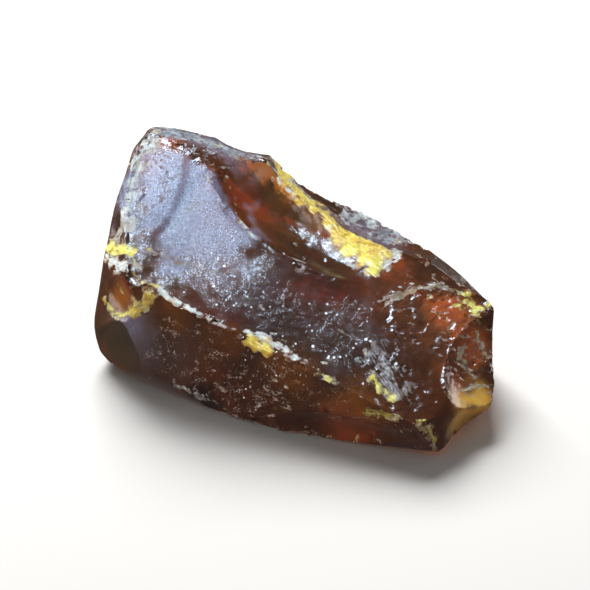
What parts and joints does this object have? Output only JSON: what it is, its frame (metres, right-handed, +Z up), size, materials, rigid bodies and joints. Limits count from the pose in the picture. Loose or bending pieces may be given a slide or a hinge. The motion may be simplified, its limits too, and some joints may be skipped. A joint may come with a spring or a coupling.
{
  "type": "raw amber piece",
  "caption": "Broken lump of raw amber with a broad sloping face, shell-shaped chips and a flat foot to rest on.",
  "frame": {"origin": "on the flat foot, under the middle of the lump's box", "axes": "+X along the lump, from the thick end to the thin end; +Z up, out of the broad face; -Y towards the steep front"},
  "size_m": [0.0494, 0.03, 0.0196],
  "materials": {
    "amber": "broken resin: satin, part frosted, with pale crust on the edges"
  },
  "bodies": {
    "root": {"amber": "amber"}
  },
  "joints": []
}
